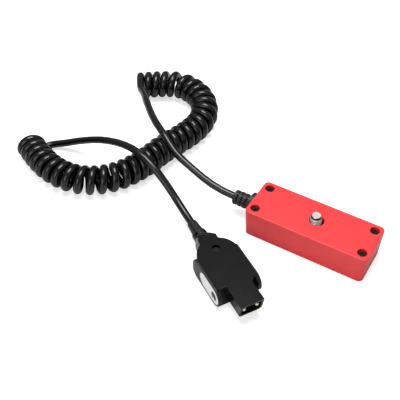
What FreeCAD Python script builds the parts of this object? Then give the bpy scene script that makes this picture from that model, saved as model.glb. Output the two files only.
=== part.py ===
"""Release box with a quarter-inch mounting stud, on a coiled cord with a flat two-pin plug.

Millimetres, +Z up.  The origin is the centre of the box's base, which stands on z = 0.
+X runs along the box, away from the cord; the cord and the plug lie on the same surface.
Each sub-part is written to parts/NAME.step.
"""
import FreeCAD, Part
import math
import os

V = FreeCAD.Vector
X, Y, Z = V(1, 0, 0), V(0, 1, 0), V(0, 0, 1)

# ---- clearances ------------------------------------------------------------------------
SLIP = 0.05            # radial gap of a piece that is seated in a hole
RUN = 0.07             # radial gap of a shaft that turns or slides
SKIN = 0.30            # gap between bodies that move past each other
SEAT = 0.10            # gap between stacked faces that aren't tied together

# ---- box -------------------------------------------------------------------------------
BOX_L, BOX_W, BOX_H = 70.0, 26.7, 17.75     # over the lid, which is the widest place
LID_T = 2.0
DRAFT = 2.0                                 # degrees, every wall leans in towards the base
CORNER_R = 2.6
EDGE_R = 0.45
WALL, FLOOR = 2.0, 2.0
LIP_T, LIP_DEEP = 1.2, 1.4
POST_R = 3.2
LID_SCREW_IN_X, LID_SCREW_IN_Y = 4.4, 4.7   # screw axes, in from the lid's sides
LID_HEAD_R, LID_HEAD_H = 2.2, 1.3
LID_SHANK_R, LID_SCREW_DEEP = 1.25, 7.3
LID_SINK_R, LID_SINK_DEEP = 2.65, 2.6       # wells that the screw heads stand in
WELL_WALL = 1.0

# ---- mounting screw --------------------------------------------------------------------
STUD_X = 0.9
STUD_R = 3.175                              # quarter-inch thread, crest radius
STUD_OUT = 3.7
STUD_CHAMFER = 0.8
STUD_RELIEF_R, STUD_RELIEF_LOW, STUD_RELIEF_HIGH = 2.7, 0.55, 0.15
STUD_HOLE_X, STUD_HOLE_R = 1.5, 4.1        # in the lid
COLLAR_WALL, COLLAR_DEEP = 1.1, 1.7         # round the hole, under the lid
HEAD_R, HEAD_T, HEAD_UP = 6.4, 3.2, 0.5
SLOT_W, SLOT_DEEP = 1.4, 1.3
BUSH_WALL, BUSH_UNDER, BUSH_PROUD = 1.55, 3.15, 0.5
CLIP_T, CLIP_WIDE, CLIP_GROOVE = 0.8, 2.1, 0.55
BOSS_WALL = 1.4

# ---- push button and its switch, on the far long wall -----------------------------------
SWITCH_IN_X, SWITCH_Z = 18.0, 8.0           # axis, in from the box's right end
SEAT_IN = 1.55                              # flat that the bezel is clamped against, from BOX_W / 2
BEZEL_R, BEZEL_T = 5.7, 1.2
BARREL_R, BARREL_L = 4.5, 8.8               # behind the flat
CAP_R, CAP_OUT, CAP_EDGE = 3.5, 0.3, 0.5
CAP_BACK, CAP_CUP, CAP_CUP_R = 2.2, 0.1, 2.9     # depths behind the flat
STEM_R = 1.7
WEB_FRONT, WEB_BACK = 4.4, 5.4
BRIDGE_R, BRIDGE_T = 3.2, 0.5
TRAVEL = 1.5
BASE_T = 2.0
TAG_W, TAG_T, TAG_APART, TAG_REACH = 2.0, 0.6, 4.0, 4.5
NUT_FLAT, NUT_T = 11.0, 1.5
SPRING_WIRE_R, SPRING_TURNS = 0.25, 3.5

# ---- strain relief on the left end wall --------------------------------------------------
GLAND_Z = 10.4
GLAND_SEAT_IN = 0.6                         # depth of the flange's seat in the end wall
GLAND_R, GLAND_ROOT_R, GLAND_L = 4.2, 4.35, 12.9
GLAND_FLANGE_R, GLAND_FLANGE_T = 6.4, 2.8
GLAND_NECK_R = 3.6
GLAND_BACK_R, GLAND_BACK_T = 5.0, 1.5
RIB_FIRST, RIB_PITCH, RIB_GAP, RIB_COUNT = 1.95, 2.78, 1.25, 3
RING_DEEP, WINDOW_DEEP, WINDOW_W = 0.4, 1.4, 3.6

# ---- cord ------------------------------------------------------------------------------
CORD_R = 2.15
TAIL_IN = 9.0                               # cord's end in the box, from the left end
TIE_R, TIE_W = 3.3, 2.0
WIRE_R = 0.55
WIRE_CLEAR, WIRE_TURN = 5.8, 9.0            # bends, before the boss and before the switch
COIL_R = 6.5                                # from the coil's middle line to the cord's
COIL_TURNS = 35.5                           # from the top of one end to the foot of the other
FLOOR_GAP = 0.05
COIL_Z = COIL_R + CORD_R + FLOOR_GAP
EXIT_RUN, PLUG_RUN = 8.0, 10.0              # straight runs of a lead beside the coil and the plug
# Middle line of the coil as it lies, seen from above.
COIL_LINE = [(-150.5, 59.5), (-135.5, 72.0), (-121.5, 73.5), (-107.5, 67.5), (-98.0, 53.5),
             (-97.5, 37.0), (-104.5, 15.5), (-106.5, 1.0), (-112.0, -16.0), (-122.0, -28.0),
             (-136.5, -34.5), (-157.5, -32.5), (-175.0, -23.0)]
# Free leads, between their straight ends: from the strain relief over the coil to its far
# end, and from the coil's near end over the coil to the plug.
BOX_LEAD = [(-59.5, 0.0, 10.4), (-78.5, 2.8, 16.0), (-90.0, 4.8, 20.0), (-101.0, 11.0, 24.5),
            (-113.0, 18.5, 25.0), (-128.5, 34.0, 21.5), (-137.5, 44.5, 18.0)]
PLUG_LEAD = [(-161.0, -7.5, 4.5), (-150.0, -5.0, 9.8), (-132.0, -5.2, 18.7),
             (-112.0, -8.0, 25.0), (-96.0, -12.4, 24.3), (-82.0, -15.8, 15.5)]

# ---- plug: its own frame has +X to the nose's tip, z = 0 on the surface ------------------
PLUG_AT = (-3.2, -62.4)                     # below the middle of the nose's upper lip
PLUG_YAW = -32.3
PLUG_T = 14.0
HALF_W = 11.35
SHOULDER_X, REAR_X = -14.6, -35.4           # front of the body, centre of its round rear
NECK_X, NECK_ROOT_X, NECK_END_X = -52.6, -48.6, -44.0
NECK_W, NECK_H, NECK_R = 9.4, 9.6, 2.4
NECK_ROOT_W, NECK_ROOT_R = 10.8, 1.0
SHELL_WALL, SIDE_WALL = 1.8, 2.0
SHELL_EDGE = 0.5
NOSE_W, NOSE_FOOT, NOSE_R, NOSE_WALL = 13.2, 4.3, 2.0, 1.2
NOSE_EDGE = 0.35
NOSE_ROOT, NOSE_RAKE = 3.0, 11.0            # depth inside the body; lean of the mouth, degrees
PIN_R, PIN_APART, PIN_Z, PIN_SUNK, PIN_TAIL_X = 0.98, 7.3, 9.1, 0.5, -20.0
BLOCK_FRONT_X, BLOCK_BACK_X = -11.0, -17.4
PAD_L, PAD_H, PAD_T, PAD_OUT, PAD_NOSE_X = 29.0, 12.0, 2.2, 1.0, -11.6
PAD_REAR_R, PAD_REAR_L = 4.6, 16.0
PLATE_L, PLATE_H, PLATE_T, PLATE_X = 19.9, 9.4, 0.45, -22.45
RIVET_R, RIVET_X = 2.5, -17.2
SCREW_X, SCREW_Y = -39.3, 0.6
SCREW_HEAD_R, SCREW_HEAD_T, SCREW_DEEP = 2.2, 1.2, 3.0
SCREW_SHANK_R, SCREW_FOOT_Z, COLUMN_R = 1.1, 3.2, 3.2
BOOT_MOUTH_X, SLEEVE_R, SLEEVE_ROOT_R = -66.0, 2.8, 3.35
COLLAR_X, COLLAR_BACK_R, COLLAR_R, COLLAR_EDGE = -58.3, 4.0, 4.3, 0.8
BOOT_TAIL_R, BOOT_STOP_R, BOOT_STOP_X, BOOT_END_X = 3.3, 3.9, -49.4, -47.6
PLUG_TAIL_X = -46.2
PLUG_WIRE_R, PLUG_WIRE_Y = 0.5, 5.2
PLUG_WIRE_PAST = 7.3                        # bend past the screw's axis

# ---- worked out ------------------------------------------------------------------------
CASE_H = BOX_H - LID_T
LID_SCREW_X, LID_SCREW_Y = BOX_L / 2 - LID_SCREW_IN_X, BOX_W / 2 - LID_SCREW_IN_Y
LEAN = math.tan(math.radians(DRAFT))
CAVITY_L = BOX_L - 2 * (BOX_H * LEAN + WALL)
CAVITY_W = BOX_W - 2 * (BOX_H * LEAN + WALL)
HEAD_TOP = HEAD_UP + HEAD_T
BUSH_LOW = HEAD_TOP + SKIN
BUSH_HIGH = CASE_H - BUSH_UNDER
BUSH_R = STUD_R + RUN + BUSH_WALL
BOSS_R = HEAD_R + SKIN + BOSS_WALL
CLIP_LOW = BUSH_HIGH + SKIN
CLIP_BORE_R = STUD_R - CLIP_GROOVE
SEAT_Y = BOX_W / 2 - SEAT_IN
BARREL_BACK_Y = SEAT_Y - BARREL_L
CAP_BACK_Y, CAP_CUP_Y = SEAT_Y - CAP_BACK, SEAT_Y - CAP_CUP
WEB_FRONT_Y, WEB_BACK_Y = SEAT_Y - WEB_FRONT, SEAT_Y - WEB_BACK
TAG_TAIL_Y = BARREL_BACK_Y - BASE_T - TAG_REACH
BRIDGE_Y = WEB_BACK_Y - SEAT - BRIDGE_T
CONTACT_Y = BRIDGE_Y - TRAVEL - SEAT
WELL_LOW = BOX_H - LID_SINK_DEEP - WELL_WALL
POST_TOP = WELL_LOW - SEAT
SWITCH_X = BOX_L / 2 - SWITCH_IN_X
GLAND_SEAT_X, TAIL_END_X = GLAND_SEAT_IN - BOX_L / 2, TAIL_IN - BOX_L / 2
GLAND_MOUTH = V(GLAND_SEAT_X - GLAND_L, 0, GLAND_Z)
PLUG_MID_Z = PLUG_T / 2


# ---- helpers ---------------------------------------------------------------------------
def cylinder(radius, start, end):
    """Round bar between two points."""
    return Part.makeCylinder(radius, (end - start).Length, start, end - start)


def tube(outer, inner, start, end):
    return cylinder(outer, start, end).cut(cylinder(inner, start, end))


def box(low, high):
    return Part.makeBox(high[0] - low[0], high[1] - low[1], high[2] - low[2], V(*low))


def cone(radius_a, radius_b, start, end):
    return Part.makeCone(radius_a, radius_b, (end - start).Length, start, end - start)


def rounded_wire(length, width, radius, origin, along=X, across=Y):
    """Rectangle with round corners, centred on origin in the plane of along and across."""
    a, b, r = length / 2, width / 2, radius

    def at(u, v):
        return origin + along * u + across * v

    edges = []
    for sx, sy, flip in ((1, -1, 1), (1, 1, -1), (-1, 1, 1), (-1, -1, -1)):
        k = r * (1 - math.sqrt(0.5))
        start, end = (sx * (a - r), sy * b), (sx * a, sy * (b - r))
        if flip < 0:
            start, end = end, start
        edges.append((at(*start), at(sx * (a - k), sy * (b - k)), at(*end)))
    sides = []
    for i, (start, mid, end) in enumerate(edges):
        sides.append(Part.Arc(start, mid, end).toShape())
        sides.append(Part.LineSegment(end, edges[(i + 1) % 4][0]).toShape())
    return Part.Wire(sides)


def rounded_block(length, width, radius, z0, z1):
    return Part.Face(rounded_wire(length, width, radius, V(0, 0, z0))).extrude(Z * (z1 - z0))


def stadium(length, height, centre, depth):
    """Slot-shaped plate in the XZ plane, extruded along Y by depth."""
    wire = rounded_wire(length, height, height / 2 - 1e-4, centre, X, Z)
    return Part.Face(wire).extrude(Y * depth)


def polygon_bar(flat, start, depth):
    """Hexagonal bar along +Y, with two flats level."""
    points = [start + V(math.cos(math.radians(60 * i)), 0, math.sin(math.radians(60 * i)))
              * (flat / math.sqrt(3)) for i in range(7)]
    return Part.Face(Part.makePolygon(points)).extrude(Y * depth)


def group(shapes):
    return Part.makeCompound(shapes)


# ---- routes: straight runs joined by tangent arcs ---------------------------------------
def rounded_route(points):
    """Segments ("line", start, end) and ("arc", centre, start, end, turn) along the points."""
    segments, at = [], points[0]
    for before, corner, after in zip(points, points[1:], points[2:]):
        u, w = (corner - before).normalize(), (after - corner).normalize()
        turn = u.getAngle(w)
        cut = 0.45 * min((corner - before).Length, (after - corner).Length)
        radius = cut / math.tan(turn / 2)
        start, end = corner - u * cut, corner + w * cut
        centre = corner + (w - u).normalize() * math.hypot(cut, radius)
        segments.append(("line", at, start))
        segments.append(("arc", centre, start, end, turn))
        at = end
    segments.append(("line", at, points[-1]))
    return segments


def radii(segments):
    return [round((s[2] - s[1]).Length, 1) for s in segments if s[0] == "arc"]


def segment_length(segment):
    reach = (segment[2] - segment[1]).Length
    return reach if segment[0] == "line" else reach * segment[4]


def route_wire(segments):
    edges = []
    for segment in segments:
        if segment[0] == "line":
            edges.append(Part.LineSegment(segment[1], segment[2]).toShape())
        else:
            centre, start, end = segment[1:4]
            middle = centre + ((start + end) * 0.5 - centre).normalize() * (start - centre).Length
            edges.append(Part.Arc(start, middle, end).toShape())
    return Part.Wire(edges)


def sweep(wire, radius, start, direction):
    """Solid of a round section along a wire."""
    ring = Part.Wire(Part.makeCircle(radius, start, direction))
    shell = Part.BRepOffsetAPI.MakePipeShell(wire)
    shell.add(ring)
    shell.build()
    shell.makeSolid()
    return shell.shape()


def cord_tube(name, points, radius):
    """Tube along a route, with its radii and its volume against section times length."""
    segments = rounded_route(points)
    wire = route_wire(segments)
    solid = sweep(wire, radius, points[0], points[1] - points[0])
    length = sum(segment_length(s) for s in segments)
    ratio = solid.Volume / (math.pi * radius ** 2 * length)
    print(f"{name}: length {length:.1f}, volume ratio {ratio:.4f}, radii {radii(segments)}")
    return solid


# ---- helices on biarcs -------------------------------------------------------------------
def biarc(p, tp, q, tq):
    """Two arcs, tangent to tp at p, to tq at q and to each other."""
    chord, both = q - p, tp + tq
    lean = 2 * (1 - tp.dot(tq))
    along = chord.dot(both)
    reach = (-along + math.sqrt(along ** 2 + lean * chord.dot(chord))) / lean
    joint = (p + q + (tp - tq) * reach) * 0.5
    return [arc_from(p, tp, joint), arc_from(q, tq * -1, joint, backwards=True)]


def arc_from(start, tangent, end, backwards=False):
    """Arc that leaves start along tangent and passes through end."""
    chord = end - start
    side = (chord - tangent * chord.dot(tangent)).normalize()
    half = tangent.getAngle(chord)
    radius = chord.Length / (2 * math.sin(half))
    centre = start + side * radius
    middle = centre + (((start + end) * 0.5) - centre).normalize() * radius
    if backwards:
        start, end = end, start
    return Part.Arc(start, middle, end).toShape()


def wound_tube(curl, turns, radius, stub):
    """Unbroken tube along curl(turn), with straight stubs; returns it and its end frames."""
    step, small = 0.25, 1e-4

    def heading(t):
        return (curl(t + small) - curl(t - small)).normalize()

    count = int(round(turns / step))
    nodes = [(curl(i * step), heading(i * step)) for i in range(count + 1)]
    edges = []
    for (p, tp), (q, tq) in zip(nodes, nodes[1:]):
        edges += biarc(p, tp, q, tq)
    first, last = nodes[0], nodes[-1]
    start, end = first[0] - first[1] * stub, last[0] + last[1] * stub
    edges = ([Part.LineSegment(start, first[0]).toShape()] + edges
             + [Part.LineSegment(last[0], end).toShape()])
    wire = Part.Wire(edges)
    solid = sweep(wire, radius, start, first[1])
    return solid, wire, (start, first[1]), (end, last[1])


def least_gap(wire, radius, skip):
    """Smallest gap between parts of a wound tube that are over skip apart along it."""
    points = wire.discretize(Distance=0.8)
    lag = int(skip / 0.8)
    nearest = min((points[i] - points[j]).Length
                  for i in range(len(points))
                  for j in range(i + lag, min(len(points), i + 5 * lag)))
    return nearest - 2 * radius


def coil_curl():
    """Point on the cord at a turn: the turns' inner sides are evenly spaced in each bend."""
    segments = rounded_route([V(x, y, COIL_Z) for x, y in COIL_LINE])
    inner = [segment_length(s) - (COIL_R * s[4] if s[0] == "arc" else 0) for s in segments]
    pitch = sum(inner) / COIL_TURNS
    print(f"coil: pitch {pitch:.2f} on the inner side, bends {radii(segments)}")

    def middle(distance):
        """Point and heading on the middle line at a distance along the turns' inner sides."""
        for segment, span in zip(segments, inner):
            if distance <= span or segment is segments[-1]:
                break
            distance -= span
        if segment[0] == "line":
            heading = (segment[2] - segment[1]).normalize()
            return segment[1] + heading * distance, heading
        centre, start, end, turn = segment[1:]
        swing = turn * distance / span
        out = start - centre
        if out.cross(end - centre).z < 0:
            swing = -swing
        spoke = FreeCAD.Rotation(Z, math.degrees(swing)).multVec(out)
        return centre + spoke, Z.cross(spoke).normalize() * math.copysign(1, swing or 1)

    def curl(turn):
        point, heading = middle(pitch * turn)
        side = Z.cross(heading)
        angle = math.pi / 2 - 2 * math.pi * turn
        return point + (side * math.cos(angle) + Z * math.sin(angle)) * COIL_R

    return curl


# ---- box -------------------------------------------------------------------------------
def outline(z):
    """Outer outline of the box at a height."""
    shrink = 2 * (BOX_H - z) * LEAN
    return rounded_wire(BOX_L - shrink, BOX_W - shrink, CORNER_R, V(0, 0, z))


def corners():
    return [V(sx * LID_SCREW_X, sy * LID_SCREW_Y, 0) for sx in (-1, 1) for sy in (-1, 1)]


def stud_point(z):
    return V(STUD_X, 0, z)


def switch_point(y):
    return V(SWITCH_X, y, SWITCH_Z)


def gland_seat():
    """Room for the strain relief's flange, sunk in the end wall."""
    return cylinder(GLAND_FLANGE_R + SLIP, V(GLAND_SEAT_X, 0, GLAND_Z), V(-BOX_L, 0, GLAND_Z))


def sink(centre):
    return cylinder(LID_SINK_R, centre + Z * (BOX_H - LID_SINK_DEEP), centre + Z * (BOX_H + 1))


def make_case():
    case = Part.makeLoft([outline(0), outline(CASE_H)], True, True)
    foot = [e for e in case.Edges if e.BoundBox.ZMax < 1e-3]
    case = case.makeFillet(EDGE_R, foot)
    cavity = rounded_block(CAVITY_L, CAVITY_W, 1.0, FLOOR, CASE_H + 1)
    keep = [cylinder(POST_R, c + Z * FLOOR, c + Z * POST_TOP) for c in corners()]
    keep.append(cylinder(BOSS_R, stud_point(FLOOR), stud_point(BUSH_HIGH - BUSH_PROUD)))
    case = case.cut(cavity.cut(group(keep)))
    top = CASE_H + 1
    for c in corners():
        hole = cylinder(LID_SHANK_R + SLIP, c + Z * (POST_TOP - LID_SCREW_DEEP), c + Z * top)
        case = case.cut(hole).cut(sink(c))
    case = case.cut(cylinder(HEAD_R + SKIN, stud_point(-1), stud_point(BUSH_LOW)))
    case = case.cut(cylinder(BUSH_R + SLIP, stud_point(-1), stud_point(top)))
    outside = BOX_W
    case = case.cut(cylinder(BEZEL_R + SKIN, switch_point(SEAT_Y), switch_point(outside)))
    case = case.cut(cylinder(BARREL_R + SLIP, switch_point(CAVITY_W / 2 - 1), switch_point(outside)))
    case = case.cut(gland_seat())
    return case.cut(along_x(GLAND_NECK_R + SLIP, -BOX_L, -CAVITY_L / 2 + 1))


def make_lid():
    plate = Part.makeLoft([outline(CASE_H), outline(BOX_H)], True, True)
    rim = [e for e in plate.Edges if e.BoundBox.ZMin > BOX_H - 1e-3]
    plate = plate.makeFillet(EDGE_R, rim)
    low = CASE_H - LIP_DEEP
    inner_l, inner_w = CAVITY_L - 2 * SEAT, CAVITY_W - 2 * SEAT
    lip = rounded_block(inner_l, inner_w, 0.9, low, CASE_H)
    lip = lip.cut(rounded_block(inner_l - 2 * LIP_T, inner_w - 2 * LIP_T, 0.5, low, CASE_H))
    lip = lip.cut(along_x(GLAND_BACK_R + SEAT, -BOX_L, -CAVITY_L / 2 + GLAND_BACK_T + SEAT))
    room = rounded_block(inner_l, inner_w, 0.9, WELL_LOW, CASE_H)
    wells = [cylinder(LID_SINK_R + WELL_WALL, c + Z * WELL_LOW, c + Z * CASE_H).common(room)
             for c in corners()]
    hole_low, hole_high = V(STUD_HOLE_X, 0, CASE_H - COLLAR_DEEP), V(STUD_HOLE_X, 0, BOX_H + 1)
    collar = cylinder(STUD_HOLE_R + COLLAR_WALL, hole_low, V(STUD_HOLE_X, 0, CASE_H))
    lid = plate.fuse([lip, collar, *wells]).removeSplitter()
    for c in corners():
        lid = lid.cut(cylinder(LID_SHANK_R + SEAT, c, c + Z * (BOX_H + 1))).cut(sink(c))
    lid = lid.cut(gland_seat())
    return lid.cut(cylinder(STUD_HOLE_R, hole_low, hole_high))


def cross_recess(centre, size, depth, width):
    """Cross-shaped driver recess sunk from centre."""
    long, short = size / 2, width / 2
    arms = [box((centre.x - a, centre.y - b, centre.z - depth), (centre.x + a, centre.y + b,
            centre.z + 1)) for a, b in ((long, short), (short, long))]
    return arms[0].fuse(arms[1])


def make_lid_screws():
    screws = []
    for c in corners():
        seat = c + Z * (BOX_H - LID_SINK_DEEP)
        top = seat + Z * LID_HEAD_H
        foot = c + Z * (POST_TOP - LID_SCREW_DEEP + 2 * SEAT)
        head = cylinder(LID_HEAD_R, seat, top)
        head = head.makeFillet(0.3, [e for e in head.Edges if e.BoundBox.ZMin > top.z - 1e-3])
        screw = head.fuse(cylinder(LID_SHANK_R, foot, seat)).removeSplitter()
        screws.append(screw.cut(cross_recess(top, 2.8, 0.65, 0.7)))
    return group(screws)


def make_mounting_screw():
    tip = BOX_H + STUD_OUT
    screw = cylinder(HEAD_R, stud_point(HEAD_UP), stud_point(HEAD_TOP))
    screw = screw.makeFillet(0.4, [e for e in screw.Edges if e.BoundBox.ZMax < HEAD_UP + 1e-3])
    shank = cylinder(STUD_R, stud_point(HEAD_TOP - 0.2), stud_point(tip - STUD_CHAMFER))
    end = cone(STUD_R, STUD_R - STUD_CHAMFER, stud_point(tip - STUD_CHAMFER), stud_point(tip))
    screw = screw.fuse([shank, end]).removeSplitter()
    grooves = ((STUD_RELIEF_R, BOX_H - STUD_RELIEF_LOW, BOX_H + STUD_RELIEF_HIGH),
               (CLIP_BORE_R, CLIP_LOW - SEAT / 2, CLIP_LOW + CLIP_T + SEAT / 2))
    for radius, low, high in grooves:
        screw = screw.cut(tube(STUD_R + 1, radius, stud_point(low), stud_point(high)))
    slot = box((STUD_X - HEAD_R, -SLOT_W / 2, 0),
               (STUD_X + HEAD_R, SLOT_W / 2, HEAD_UP + SLOT_DEEP))
    return screw.cut(slot)


def make_bush():
    return tube(BUSH_R, STUD_R + RUN, stud_point(BUSH_LOW), stud_point(BUSH_HIGH))


def make_clip():
    low, high = stud_point(CLIP_LOW), stud_point(CLIP_LOW + CLIP_T)
    bore = CLIP_BORE_R + SLIP
    ring = tube(bore + CLIP_WIDE, bore, low, high)
    reach = bore + CLIP_WIDE + 1
    return ring.cut(box((STUD_X, -bore * 0.8, low.z), (STUD_X + reach, bore * 0.8, high.z)))


# ---- switch ------------------------------------------------------------------------------
def make_switch_body():
    """Threaded barrel with its bezel; a web inside guides the button's stem."""
    front = SEAT_Y + BEZEL_T
    bezel = cylinder(BEZEL_R, switch_point(SEAT_Y), switch_point(front))
    bezel = bezel.makeFillet(0.3, [e for e in bezel.Edges if e.BoundBox.YMin > front - 1e-3])
    body = bezel.fuse(cylinder(BARREL_R, switch_point(BARREL_BACK_Y), switch_point(SEAT_Y)))
    body = body.removeSplitter()
    body = body.cut(cylinder(CAP_R + RUN, switch_point(WEB_FRONT_Y), switch_point(front)))
    body = body.cut(cylinder(CAP_R + RUN, switch_point(BARREL_BACK_Y), switch_point(WEB_BACK_Y)))
    return body.cut(cylinder(STEM_R + RUN, switch_point(BARREL_BACK_Y), switch_point(front)))


def make_switch_nut():
    start = CAVITY_W / 2 - NUT_T
    nut = polygon_bar(NUT_FLAT, switch_point(start), NUT_T)
    return nut.cut(cylinder(BARREL_R + SLIP, switch_point(start), switch_point(start + NUT_T)))


def make_push_button():
    tip = SEAT_Y + BEZEL_T + CAP_OUT
    cap = cylinder(CAP_R, switch_point(CAP_BACK_Y), switch_point(tip))
    cap = cap.makeFillet(CAP_EDGE, [e for e in cap.Edges if e.BoundBox.YMin > tip - 1e-3])
    cap = cap.cut(cylinder(CAP_CUP_R, switch_point(CAP_BACK_Y), switch_point(CAP_CUP_Y)))
    stem = cylinder(STEM_R, switch_point(BRIDGE_Y + BRIDGE_T), switch_point(CAP_CUP_Y + 0.2))
    return cap.fuse(stem).removeSplitter()


def make_contact_bridge():
    return cylinder(BRIDGE_R, switch_point(BRIDGE_Y), switch_point(BRIDGE_Y + BRIDGE_T))


def make_button_spring():
    """Compression spring between the barrel's web and the inside of the cap."""
    radius = (STEM_R + CAP_CUP_R) / 2
    low = WEB_FRONT_Y + SPRING_WIRE_R + SLIP
    rise = (CAP_CUP_Y - SPRING_WIRE_R - SLIP - low) / SPRING_TURNS

    def curl(turn):
        angle = 2 * math.pi * turn
        return V(SWITCH_X + radius * math.cos(angle), low + rise * turn,
                 SWITCH_Z + radius * math.sin(angle))

    solid, wire, _, _ = wound_tube(curl, SPRING_TURNS, SPRING_WIRE_R, SPRING_WIRE_R / 5)
    print(f"button spring: least gap {least_gap(wire, SPRING_WIRE_R, 5):.2f}")
    return solid


def tag_centres():
    return [SWITCH_X - TAG_APART / 2, SWITCH_X + TAG_APART / 2]


def tag_box(x, y0, y1, gap=0.0):
    half_t, half_w = TAG_T / 2 + gap, TAG_W / 2 + gap
    return box((x - half_t, y0, SWITCH_Z - half_w), (x + half_t, y1, SWITCH_Z + half_w))


def make_switch_base():
    back = BARREL_BACK_Y - BASE_T
    base = cylinder(BARREL_R, switch_point(back), switch_point(BARREL_BACK_Y))
    return base.cut(group([tag_box(x, back - 1, BARREL_BACK_Y + 1, SLIP) for x in tag_centres()]))


def make_switch_terminals():
    return group([tag_box(x, TAG_TAIL_Y, CONTACT_Y) for x in tag_centres()])


# ---- strain relief and what is behind it -------------------------------------------------
def along_x(radius, x0, x1, z=GLAND_Z):
    return cylinder(radius, V(x0, 0, z), V(x1, 0, z))


def rib_windows(x0, gap, radius, deep, width, axis_z):
    """Four pockets round a sleeve, between webs at its top, foot and sides."""
    pockets = []
    for quarter in range(4):
        pocket = box((x0, -width / 2, radius - deep), (x0 + gap, width / 2, radius + 1))
        pocket.rotate(V(0, 0, 0), X, 45 + 90 * quarter)
        pocket.translate(Z * axis_z)
        pockets.append(pocket)
    return pockets


def make_strain_relief():
    mouth, flange = GLAND_MOUTH.x, GLAND_SEAT_X - GLAND_FLANGE_T
    wall = -CAVITY_L / 2
    body = cone(GLAND_R, GLAND_ROOT_R, GLAND_MOUTH, V(flange, 0, GLAND_Z))
    body = body.makeFillet(0.5, [e for e in body.Edges if e.BoundBox.XMax < mouth + 1e-3])
    body = body.fuse([along_x(GLAND_FLANGE_R, flange, GLAND_SEAT_X),
                      along_x(GLAND_NECK_R, GLAND_SEAT_X, wall),
                      along_x(GLAND_BACK_R, wall, wall + GLAND_BACK_T)]).removeSplitter()
    for i in range(RIB_COUNT):
        start = mouth + RIB_FIRST + RIB_PITCH * i
        ring = tube(GLAND_ROOT_R + 1, GLAND_R - RING_DEEP, V(start, 0, GLAND_Z),
                    V(start + RIB_GAP, 0, GLAND_Z))
        body = body.cut(ring)
        pockets = rib_windows(start, RIB_GAP, GLAND_R, WINDOW_DEEP, WINDOW_W, GLAND_Z)
        body = body.cut(group(pockets))
    return body.cut(along_x(CORD_R + SLIP, mouth - 1, wall + GLAND_BACK_T + 1))


def make_cord_tail():
    return along_x(CORD_R, GLAND_MOUTH.x, TAIL_END_X)


def make_cord_tie():
    start = -CAVITY_L / 2 + GLAND_BACK_T + SEAT
    band = along_x(TIE_R, start, start + TIE_W)
    lock = box((start, -TIE_W, GLAND_Z - TIE_R - 1.6), (start + TIE_W, TIE_W, GLAND_Z - 1))
    return band.fuse(lock).cut(along_x(CORD_R + SLIP, start - 1, start + TIE_W + 1))


def make_inner_wires():
    """Two wires from the cord's end, past the boss, to the switch's terminals."""
    lane = -(BOSS_R + CAVITY_W / 2) / 2
    wires = []
    for side, x in zip((-1, 1), tag_centres()):
        level = SWITCH_Z + side * 2 * WIRE_R
        start = V(TAIL_END_X, side * 1.5 * WIRE_R, GLAND_Z)
        end = V(x, TAG_TAIL_Y, SWITCH_Z)
        before_boss = V(STUD_X - BOSS_R - WIRE_CLEAR, lane, level)
        points = [start, start + X * 4, before_boss, V(SWITCH_X - WIRE_TURN, lane, level),
                  end - Y * 4, end]
        wires.append(cord_tube("inner wire", points, WIRE_R))
    return group(wires)


# ---- plug --------------------------------------------------------------------------------
def place_plug(shape):
    """Move a shape from the plug's own frame to where the plug lies."""
    shape.rotate(V(0, 0, 0), Z, PLUG_YAW)
    shape.translate(V(PLUG_AT[0], PLUG_AT[1], 0))
    return shape


def plug_point(x, y, z):
    turned = FreeCAD.Rotation(Z, PLUG_YAW).multVec(V(x, y, z))
    return turned + V(PLUG_AT[0], PLUG_AT[1], 0)


def body_plan(inset, z0, z1):
    """Straight flanks and a round rear, between two heights."""
    half, front = HALF_W - inset, SHOULDER_X - inset
    rise = Z * (z1 - z0)
    straight = box((REAR_X, -half, z0), (front, half, z1))
    round_end = cylinder(half, V(REAR_X, 0, z0), V(REAR_X, 0, z0) + rise)
    return straight.fuse(round_end).removeSplitter()


def neck_solid():
    """Neck that swells from the boot's size to the body's full thickness."""
    tip = rounded_wire(NECK_W, NECK_H, NECK_R, V(NECK_X, 0, PLUG_MID_Z), Y, Z)
    root = rounded_wire(NECK_ROOT_W, PLUG_T, NECK_ROOT_R, V(NECK_ROOT_X, 0, PLUG_MID_Z), Y, Z)
    block = Part.Face(root).extrude(X * (NECK_END_X - NECK_ROOT_X))
    return Part.makeLoft([tip, root], True, True).fuse(block).removeSplitter()


def nose_wire(inset, x):
    """D-shaped section: level top, square upper corners, round lower ones."""
    half, foot, top, r = NOSE_W / 2 - inset, NOSE_FOOT + inset, PLUG_T - inset, NOSE_R - inset / 2
    k = r * (1 - math.sqrt(0.5))
    p = [V(x, -half, top), V(x, half, top), V(x, half, foot + r), V(x, half - k, foot + k),
         V(x, half - r, foot), V(x, r - half, foot), V(x, k - half, foot + k),
         V(x, -half, foot + r)]
    return Part.Wire([Part.LineSegment(p[0], p[1]).toShape(), Part.LineSegment(p[1], p[2]).toShape(),
                      Part.Arc(p[2], p[3], p[4]).toShape(), Part.LineSegment(p[4], p[5]).toShape(),
                      Part.Arc(p[5], p[6], p[7]).toShape(), Part.LineSegment(p[7], p[0]).toShape()])


def nose_bar(inset, x0, x1):
    return Part.Face(nose_wire(inset, x0)).extrude(X * (x1 - x0))


def mouth_x(z):
    """Where the raked mouth is at a height."""
    return -(PLUG_T - z) * math.tan(math.radians(NOSE_RAKE))


def beyond_mouth():
    """Everything in front of the raked mouth."""
    reach = 2 * PLUG_T
    points = [V(mouth_x(reach), -reach, reach), V(mouth_x(-reach), -reach, -reach),
              V(reach, -reach, -reach), V(reach, -reach, reach), V(mouth_x(reach), -reach, reach)]
    return Part.Face(Part.makePolygon(points)).extrude(Y * 2 * reach)


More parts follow.
